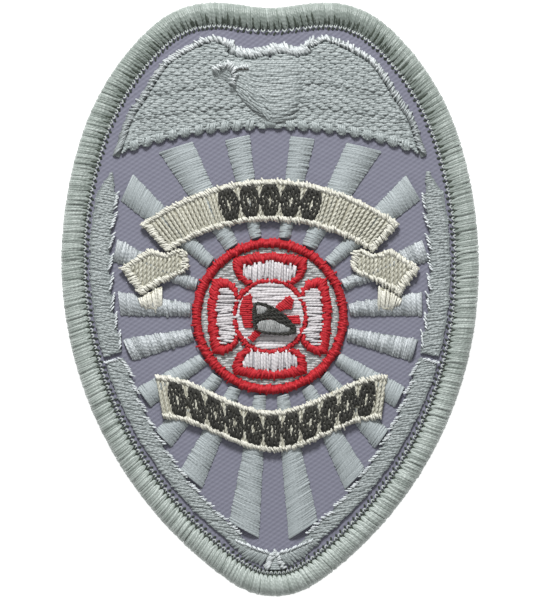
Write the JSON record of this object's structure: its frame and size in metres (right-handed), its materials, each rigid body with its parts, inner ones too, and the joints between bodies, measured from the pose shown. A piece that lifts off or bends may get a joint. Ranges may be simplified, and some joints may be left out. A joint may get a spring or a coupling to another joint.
{
  "type": "embroidered badge patch",
  "caption": "Shield-shaped embroidered firefighter badge patch with a rolled border, spread eagle, sunburst, laurel, ribbons and a red cross medallion, to sew on a uniform.",
  "frame": {"origin": "middle of the badge's outline, on the surface that its back rests on", "axes": "+Z out of the embroidered front, +Y towards the top of the badge, +X to the right seen from the front"},
  "size_m": [0.0624, 0.0886, 0.0031],
  "materials": {
    "twill": "matt diagonal weave",
    "border_thread": "sheen of wrapped polyester thread",
    "silver_thread": "satin sheen along the stitches",
    "bright_thread": "satin sheen along the stitches",
    "cream_thread": "satin sheen along the stitches",
    "black_thread": "soft sheen along the stitches",
    "grey_thread": "soft sheen along the stitches",
    "red_thread": "satin sheen along the stitches",
    "white_thread": "satin sheen along the stitches"
  },
  "bodies": {
    "root": {"twill_ground": "twill", "merrow_border": "border_thread", "wing_left": "silver_thread", "wing_right": "silver_thread", "wing_edge_left": "bright_thread", "wing_edge_right": "bright_thread", "eagle_body": "silver_thread", "eagle_crest": "bright_thread", "eagle_beak": "bright_thread", "laurel_upper_left": "silver_thread", "laurel_upper_right": "silver_thread", "laurel_lower_left": "silver_thread", "laurel_lower_right": "silver_thread", "base_knot": "bright_thread", "ribbon_upper": "cream_thread", "ribbon_lower": "cream_thread", "ribbon_fold_left": "cream_thread", "ribbon_fold_right": "cream_thread", "ribbon_tail_left": "cream_thread", "ribbon_tail_right": "cream_thread", "ornament_upper": "black_thread", "ornament_lower": "black_thread", "medallion_field": "grey_thread", "medallion_ring": "red_thread", "hub_disc": "white_thread", "hub_rim": "red_thread", "tool_axe": "red_thread", "tool_pike": "red_thread", "helmet_outline": "black_thread", "helmet_crown": "grey_thread", "helmet_shield": "grey_thread", "cross_edge_top": "red_thread", "cross_edge_right": "red_thread", "cross_edge_bottom": "red_thread", "cross_edge_left": "red_thread", "cross_fill_top": "white_thread", "cross_fill_right": "white_thread", "cross_fill_bottom": "white_thread", "cross_fill_left": "white_thread", "ray_left_01": "silver_thread", "ray_left_02": "silver_thread", "ray_left_03": "silver_thread", "ray_left_04": "silver_thread", "ray_left_05": "silver_thread", "ray_left_06": "silver_thread", "ray_left_07": "silver_thread", "ray_left_08": "silver_thread", "ray_left_09": "silver_thread", "ray_left_10": "silver_thread", "ray_right_01": "silver_thread", "ray_right_02": "silver_thread", "ray_right_03": "silver_thread", "ray_right_04": "silver_thread", "ray_right_05": "silver_thread", "ray_right_06": "silver_thread", "ray_right_07": "silver_thread", "ray_right_08": "silver_thread", "ray_right_09": "silver_thread", "ray_right_10": "silver_thread"}
  },
  "joints": []
}
